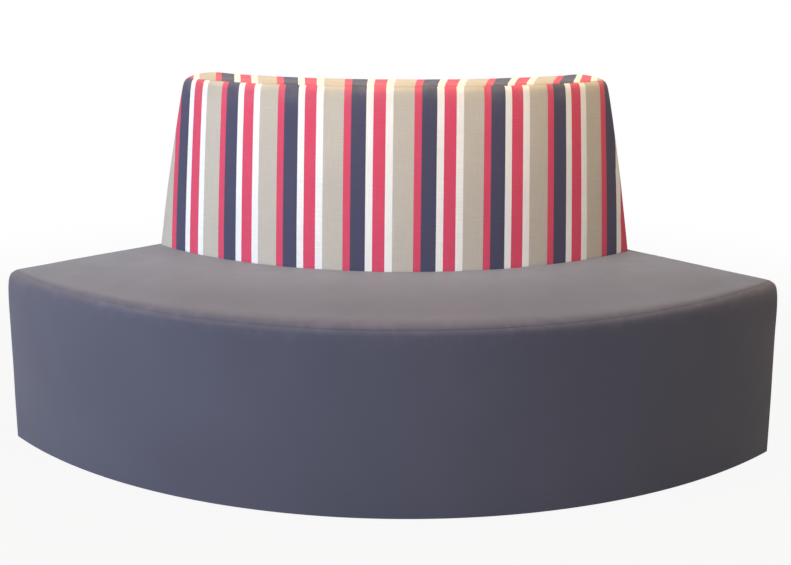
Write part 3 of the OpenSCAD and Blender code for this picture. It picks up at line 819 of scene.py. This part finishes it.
WOOD_GRAIN_SCALES = (3.0, 40.0, 40.0)
WOOD_GRAIN_DETAIL = 4
WOOD_GRAIN_SPAN = (0.35, 0.65)
WOOD_GRAIN = (0.2, 0.0005)
WOOD_ROUGHNESS = (0.62, 0.78)
PLY_SCALE = 4.0
PLY_LINES = 90.0
PLIES = (0.1, 0.0004)
PORE_SCALE = 700.0
PORE_SPAN = (0.0, 0.5)
PORE_SHADE = 0.8
PORES = (0.5, 0.0006)
FOAM_ROUGHNESS = (0.98, 0.9)
SPECK_DETAIL = 3
SPECK_SHADE = 0.85
SPECK_HEIGHT = 0.0003
ROUGHNESS_DRIFT = 0.05


def plywood(name, light, dark):
    """Wood with its grain along x and faint plies."""
    mat, shader = new_material(name)
    place = object_place(mat)
    grain = noise_node(mat, scaled(mat, place, WOOD_GRAIN_SCALES), 1.0, WOOD_GRAIN_DETAIL)
    lines = math_node(mat, "MULTIPLY", noise_node(mat, place, PLY_SCALE, 1), PLY_LINES)
    colour = ramp_node(mat, grain, list(zip(WOOD_GRAIN_SPAN, (dark, light))))
    link(mat, colour, shader.inputs["Base Color"])
    link(mat, varied_number(mat, grain, *WOOD_ROUGHNESS), shader.inputs["Roughness"])
    normal = bump_node(mat, grain, *WOOD_GRAIN)
    normal = bump_node(mat, math_node(mat, "SINE", lines), *PLIES, normal)
    link(mat, normal, shader.inputs["Normal"])
    return mat


def foam(name, colour):
    """Open-pored foam."""
    mat, shader = new_material(name)
    pores = cell_node(mat, object_place(mat), PORE_SCALE)
    shade = ramp_node(mat, pores, list(zip(PORE_SPAN, (times(colour, PORE_SHADE), colour))))
    link(mat, shade, shader.inputs["Base Color"])
    link(mat, span_node(mat, pores, *PORE_SPAN, *FOAM_ROUGHNESS), shader.inputs["Roughness"])
    link(mat, bump_node(mat, pores, *PORES), shader.inputs["Normal"])
    return mat


def speckled(name, colour, roughness, metallic, scale, strength):
    """Any plain stuff that is finely uneven, such as cloth, nylon or zinc plate. Its noise has
    the given scale and its bumps the given strength."""
    mat, shader = new_material(name)
    speck = noise_node(mat, object_place(mat), scale, SPECK_DETAIL)
    link(mat, varied(mat, speck, times(colour, SPECK_SHADE), colour), shader.inputs["Base Color"])
    rough = varied_number(mat, speck, roughness - ROUGHNESS_DRIFT, roughness + ROUGHNESS_DRIFT)
    link(mat, rough, shader.inputs["Roughness"])
    link(mat, bump_node(mat, speck, strength, SPECK_HEIGHT), shader.inputs["Normal"])
    shader.inputs["Metallic"].default_value = metallic
    return mat


def finish_cad_nodes():
    """Each CAD node that stays gets the procedural material of its slot."""
    made = {
        "plywood": plywood("birch_plywood", tone(222, 190, 146), tone(190, 152, 108)),
        "bent_plywood": plywood("bending_plywood", tone(226, 200, 160), tone(198, 166, 124)),
        "foam": foam("cushion_foam", tone(238, 228, 196)),
        "wrap_foam": foam("thin_foam", tone(232, 228, 214)),
        "dust_cloth": speckled("dust_cloth", tone(34, 34, 36), 0.9, 0.0, 1500.0, 0.4),
        "glide": speckled("nylon", tone(36, 36, 38), 0.45, 0.0, 900.0, 0.15),
        "fixing_steel": speckled("zinc_plate", tone(190, 192, 196), 0.35, 1.0, 300.0, 0.1)}
    slots = {row["node"]: row["material_slot"] for row in frame["record"]["subparts"]}
    for node, obj in frame["nodes"].items():
        if slots[node] in made:
            obj.data.materials.clear()
            obj.data.materials.append(made[slots[node]])


# What seat and back share

COARSE_CELLS = (0.005, 0.008)
COARSE_EDGE_STEPS = 3
FINE_CELLS = (0.0015, 0.0025, 0.004, 0.007)
FINE_EDGE_STEPS = 4
PANEL_NODES = {"front": "front", "top": "top", "rear": "rear",
               "left": "end_left", "right": "end_right"}


def edge_wear(grid, r, z, reach):
    """Wear along a ring of the given radius and height, where the unit is sat or leaned on. On the
    back the same band also places painted shade on the top roll.
    """
    away = np.hypot(ring_radius(grid) - r, grid[..., 2] - z)
    return np.exp(-(away / reach) ** 2)


def upholster(unit, pad, cell, held, caps, shift, pattern, worn, tucked, material):
    """The five panels of a unit's cover: blown up as cloth, uneven, and sewn at their seams.
    held, shift and worn are functions of a panel's grid, and pattern gives a striped panel's
    flat pattern."""
    fine = Net(pad, cell, FINE_CELLS, FINE_EDGE_STEPS)
    moves = {}
    coarse = Net(pad, cell, COARSE_CELLS, COARSE_EDGE_STEPS)
    moves = carry_over(puff(unit, coarse.panels, held, caps), coarse, fine)
    for part, grid in fine.panels.items():
        shaped = grid + moves.get(part, 0) + shift(grid)
        flat = pattern(part, shaped, fine.rows[part]) if pattern else None
        panel_object("%s_%s_panel" % (unit, part), part, shaped, flat, worn(grid), tucked,
                     material, "%s_cover_%s" % (unit, PANEL_NODES[part]))


# The seat

SEAT_CELL = 0.020
SEAT_CAPS = {"front": 0.003, "top": 0.003, "rear": 0.003, "left": 0.003, "right": 0.003}
# The unevenness grows to its full height this far above the hem
SEAT_FREE_HEIGHT = 0.15
SEAT_WEAR_REACH = 0.030


def seat_pad():
    line = Outline([(FRONT_RADIUS, HEM_Z), (FRONT_RADIUS, SEAT_H),
                    (REAR_RADIUS, SEAT_H), (REAR_RADIUS, HEM_Z)],
                   [FRONT_EDGE_R, REAR_EDGE_R], SEAT_SEAM_SHARES)
    crown_front = FRONT_RADIUS - FRONT_EDGE_R

    def end_r(p):
        low = smooth_step((p[:, 1] - HEM_Z) / (DECK_TOP - HEM_Z))
        high = smooth_step((p[:, 1] - DECK_TOP) / (SEAT_H - FRONT_EDGE_R - DECK_TOP))
        return HEM_CORNER_R + (CORNER_R - HEM_CORNER_R) * low + (END_EDGE_R - CORNER_R) * high

    def crown(s, p):
        x = np.clip((p[:, 0] - FOOT_RADIUS) / (crown_front - FOOT_RADIUS), 0, 1) * 2 - 1
        on_top = (s > line.ends[1]) & (s < line.ends[2])
        return np.where(on_top, SEAT_CROWN * (1 - x * x) ** SEAT_CROWN_POWER, 0)

    return Pad(line, end_r, lambda z: 0 * z, crown, SEAT_END_FADE, SEAT_SEAM_CLIMB)


def under_back(grid):
    """The seat's top is held down where the back stands on it."""
    return (ring_radius(grid) < FOOT_RADIUS) & (grid[..., 2] > SEAT_H - REAR_EDGE_R)


def make_seat():
    def shift(grid):
        return unevenness(grid) * smooth_step((grid[..., 2:] - HEM_Z) / SEAT_FREE_HEIGHT)

    def worn(grid):
        return edge_wear(grid, FRONT_RADIUS - FRONT_EDGE_R / 3, SEAT_H - FRONT_EDGE_R / 3,
                         SEAT_WEAR_REACH)

    upholster("seat", seat_pad(), SEAT_CELL, under_back, SEAT_CAPS, shift, None, worn,
              False, vinyl())


# The back

BACK_CELL = 0.018
BACK_CAPS = {"front": 0.002, "top": 0.0015, "rear": 0.004, "left": 0.003, "right": 0.003}
BACK_FREE_HEIGHT = 0.10
BACK_WEAR_REACH = 0.035
# The cloth of the front is drawn towards the middle at its upper seam, and that of the top
# panel fans out a little towards the rear
SEAM_PULL = 0.010
SEAM_PULL_REACH = 0.012
TOP_FAN = 0.6
# The gathered cover stands up a little at the top edges of the two ends
DOG_EAR = 0.005
DOG_EAR_REACH = 0.036


def back_end_gap(z):
    s = np.clip((z - SEAT_H) / (OVERALL_H - SEAT_H), 0, 1)
    return BACK_END_INSET + BACK_END_TAPER * s - BACK_END_BULGE * np.sin(math.pi * s)


def back_pad():
    line = Outline([(FOOT_RADIUS, SEAT_H), (BACK_FRONT_R, BACK_EDGE_Z),
                    (BACK_REAR_R, OVERALL_H), (BACK_REAR_R, SEAT_H)],
                   [BACK_FRONT_EDGE_R, BACK_REAR_EDGE_R], BACK_SEAM_SHARES)

    def crown(s, p):
        x = np.clip(s / line.ends[0], 0, 1)
        return BACK_CROWN * 4 * x * (1 - x)

    return Pad(line, lambda p: BACK_END_R + 0 * p[:, 0], back_end_gap, crown, BACK_END_FADE)


def stripe_pattern(part, grid, rows):
    """The flat pattern of a panel of the back, in metres. The front is unrolled as the cone
    that it is, the top is cut with its stripes running to the rear, and the rear and the
    ends are cut upright."""
    r, bearing = ring_radius(grid), ring_bearing(grid)
    lean = math.sin(RECLINE)
    if part == "front":
        pull = SEAM_PULL * np.exp((rows - rows[-1]) / SEAM_PULL_REACH)
        u = r / lean * np.sin(bearing * lean) * (1 + pull[:, None])
    elif part == "top":
        u = r * np.sin(bearing) * (1 - TOP_FAN * (r[:1] - r))
    elif part == "rear":
        u = -r * bearing
    else:
        u = (1 if part == "right" else -1) * (2 * FOOT_RADIUS - r)
    v = grid[..., 2] if part in ("left", "right") else np.broadcast_to(rows[:, None], u.shape)
    return np.stack([u, v], axis=-1)


def dog_ears(grid):
    """How far the cover stands up near the top edges of the two ends."""
    middle = (BACK_FRONT_R + BACK_REAR_R) / 2
    bearing = HALF_SPAN - (BACK_END_INSET + BACK_END_R) / middle
    lift = np.zeros(grid.shape[:2])
    for side in (-1, 1):
        corner = ring_point(np.array(middle), side * bearing, OVERALL_H)
        lift += DOG_EAR * np.exp(-(np.linalg.norm(grid - corner, axis=-1) / DOG_EAR_REACH) ** 2)
    return lift[..., None] * np.array((0.0, 0.0, 1.0))


def make_back():
    def shift(grid):
        free = smooth_step((grid[..., 2:] - SEAT_H) / BACK_FREE_HEIGHT)
        return unevenness(grid) * free + dog_ears(grid)

    def worn(grid):
        return edge_wear(grid, BACK_FRONT_R - BACK_FRONT_EDGE_R / 3,
                         BACK_EDGE_Z - BACK_FRONT_EDGE_R / 3, BACK_WEAR_REACH)

    upholster("back", back_pad(), BACK_CELL, lambda grid: 0.0, BACK_CAPS, shift, stripe_pattern,
              worn, True, striped_fabric())


# Floor, backdrop and light

FLOOR_HALF = 14.0
FLOOR_BASE = 0.20
# The floor's own glow as rays to the backdrop see it, near the bench and far from it
FLOOR_GLOW = (0.92, 1.0)
GLOW_RADII = (1.2, 3.2)
WHITE = (1.0, 1.0, 1.0)
DAYLIGHT = (0.72, 0.87, 1.0)
SKYLIGHT = (0.75, 0.87, 1.0)
LAMPLIGHT = (1.0, 0.76, 0.44)
WARM_WHITE = (1.0, 0.88, 0.76)
WALL_BOUNCE = (1.0, 0.97, 0.94)
AMBIENT = 0.02
MIDDLE = (0.0, -0.1, 0.45)
# Each lamp's name, place, aim, size, power in watts and colour
LAMPS = (("window", (-3.6, -2.4, 1.9), MIDDLE, (2.6, 2.2), 149, DAYLIGHT),
         ("sky_fill", (-1.8, -4.0, 1.9), MIDDLE, (2.4, 2.0), 87, SKYLIGHT),
         ("ceiling", (0.2, -0.3, 3.4), MIDDLE, (3.0, 2.2), 137, LAMPLIGHT),
         ("right_fill", (2.6, -1.4, 2.8), (0.5, 0.0, 0.7), (1.4, 1.4), 16, WARM_WHITE),
         ("rear_fill", (0.0, 3.6, 0.24), (0.0, 0.0, 0.5), (3.0, 0.3), 60, WALL_BOUNCE))


def backdrop_rays(owner):
    """1 for the rays that show the white backdrop: those of the camera, of gloss and of glass."""
    rays = owner.node_tree.nodes.new("ShaderNodeLightPath").outputs
    seen = math_node(owner, "MAXIMUM", rays["Is Camera Ray"], rays["Is Glossy Ray"])
    return math_node(owner, "MAXIMUM", seen, rays["Is Transmission Ray"])


def make_stage():
    """A white floor that keeps a soft shadow near the bench and fades into the backdrop."""
    mat, shader = new_material("stage_white")
    shader.inputs["Base Color"].default_value = (*grey(FLOOR_BASE), 1)
    shader.inputs["Roughness"].default_value = 1.0
    shader.inputs["Specular IOR Level"].default_value = 0.0
    nodes = mat.node_tree.nodes
    glow = nodes.new("ShaderNodeEmission")
    glow.inputs["Strength"].default_value = 1.0
    reach = nodes.new("ShaderNodeVectorMath")
    reach.operation = "LENGTH"
    link(mat, object_place(mat), reach.inputs[0])
    share = span_node(mat, reach.outputs["Value"], *GLOW_RADII, *FLOOR_GLOW)
    mix = nodes.new("ShaderNodeMixShader")
    link(mat, math_node(mat, "MULTIPLY", backdrop_rays(mat), share), mix.inputs[0])
    link(mat, shader.outputs[0], mix.inputs[1])
    link(mat, glow.outputs[0], mix.inputs[2])
    link(mat, mix.outputs[0], nodes["Material Output"].inputs["Surface"])
    sides = ((-1, -1), (1, -1), (1, 1), (-1, 1))
    corners = [(x * FLOOR_HALF, y * FLOOR_HALF, 0) for x, y in sides]
    floor = add_object("floor", make_mesh("floor", corners, [(0, 1, 2, 3)]))
    floor.data.materials.append(mat)


def background(world, colour, strength):
    node = world.node_tree.nodes.new("ShaderNodeBackground")
    node.inputs["Color"].default_value = (*colour, 1)
    node.inputs["Strength"].default_value = strength
    return node.outputs[0]


def make_world():
    """White as the backdrop and in reflections, and a dim even light otherwise."""
    world = bpy.data.worlds.new("world")
    bpy.context.scene.world = world
    world.use_nodes = True
    nodes = world.node_tree.nodes
    nodes.clear()
    mix = nodes.new("ShaderNodeMixShader")
    link(world, backdrop_rays(world), mix.inputs[0])
    link(world, background(world, SKYLIGHT, AMBIENT), mix.inputs[1])
    link(world, background(world, WHITE, 1.0), mix.inputs[2])
    link(world, mix.outputs[0], nodes.new("ShaderNodeOutputWorld").inputs["Surface"])


def area_light(name, place, aim, size, power, colour):
    data = bpy.data.lights.new(name, "AREA")
    data.shape = "RECTANGLE"
    data.size, data.size_y = size
    data.energy = power
    data.color = colour
    lamp = bpy.data.objects.new(name, data)
    bpy.context.scene.collection.objects.link(lamp)
    lamp.location = place
    lamp.rotation_mode = "QUATERNION"
    lamp.rotation_quaternion = (Vector(aim) - Vector(place)).to_track_quat("-Z", "Y")


make_camera()
make_world()
make_stage()
for lamp in LAMPS:
    area_light(*lamp)
finish_cad_nodes()
make_seat()
make_back()
bpy.context.scene.view_settings.view_transform = "Standard"
